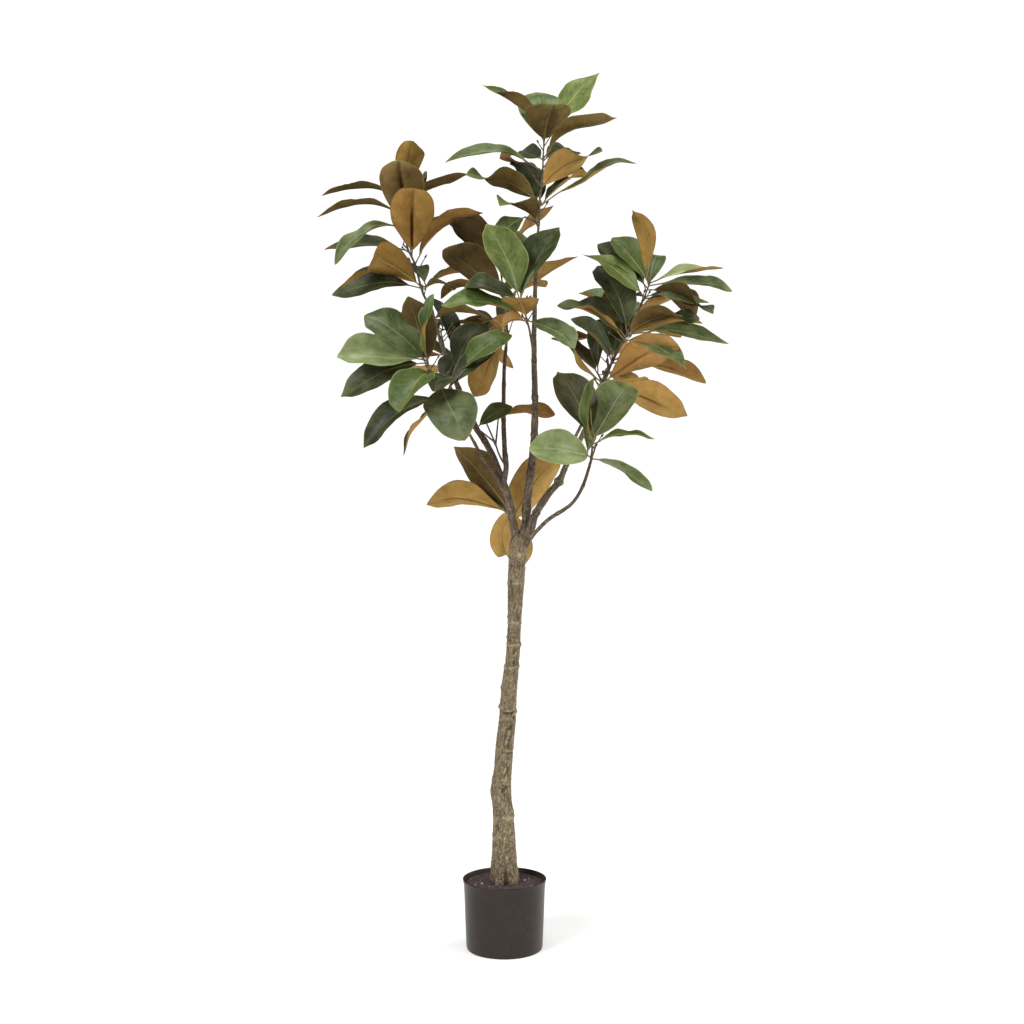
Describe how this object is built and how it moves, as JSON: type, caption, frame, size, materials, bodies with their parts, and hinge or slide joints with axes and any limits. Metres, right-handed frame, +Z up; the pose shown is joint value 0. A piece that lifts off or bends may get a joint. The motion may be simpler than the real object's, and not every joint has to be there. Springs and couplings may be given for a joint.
{
  "type": "artificial magnolia tree in a pot",
  "caption": "Tall artificial magnolia tree with a slender leaning trunk, forking boughs and large two-tone leaves, standing in a plain round nursery pot.",
  "frame": {"origin": "centre of the pot's flat underside", "axes": "+Z up along the trunk, -Y towards the viewer's side, +X to the viewer's right"},
  "size_m": [0.8706, 0.5904, 1.7994],
  "materials": {
    "pot": "dark brown moulded plastic, slightly satin",
    "fill": "dark set fill with a grainy top",
    "trunk_bark": "grey-brown bark with fine cracks, rings and knots",
    "bough_bark": "darker wrapped bark with fine ridges",
    "foliage": "satin green uppers, matte ochre and brown undersides"
  },
  "bodies": {
    "root": {"pot": "pot", "pot_fill": "fill", "trunk": "trunk_bark", "bough_left": "bough_bark", "bough_tall": "bough_bark", "bough_right": "bough_bark", "bough_right_low": "bough_bark", "bough_left_low": "bough_bark", "bough_centre_back": "bough_bark", "bough_front": "bough_bark", "bough_left_back": "bough_bark", "bough_right_back": "bough_bark", "foliage_top": "foliage", "foliage_upper_left": "foliage", "foliage_left": "foliage", "foliage_front": "foliage", "foliage_centre_back": "foliage", "foliage_right": "foliage", "foliage_right_low": "foliage", "foliage_low_back": "foliage", "foliage_inner": "foliage", "foliage_left_back": "foliage", "foliage_right_back": "foliage"}
  },
  "joints": []
}
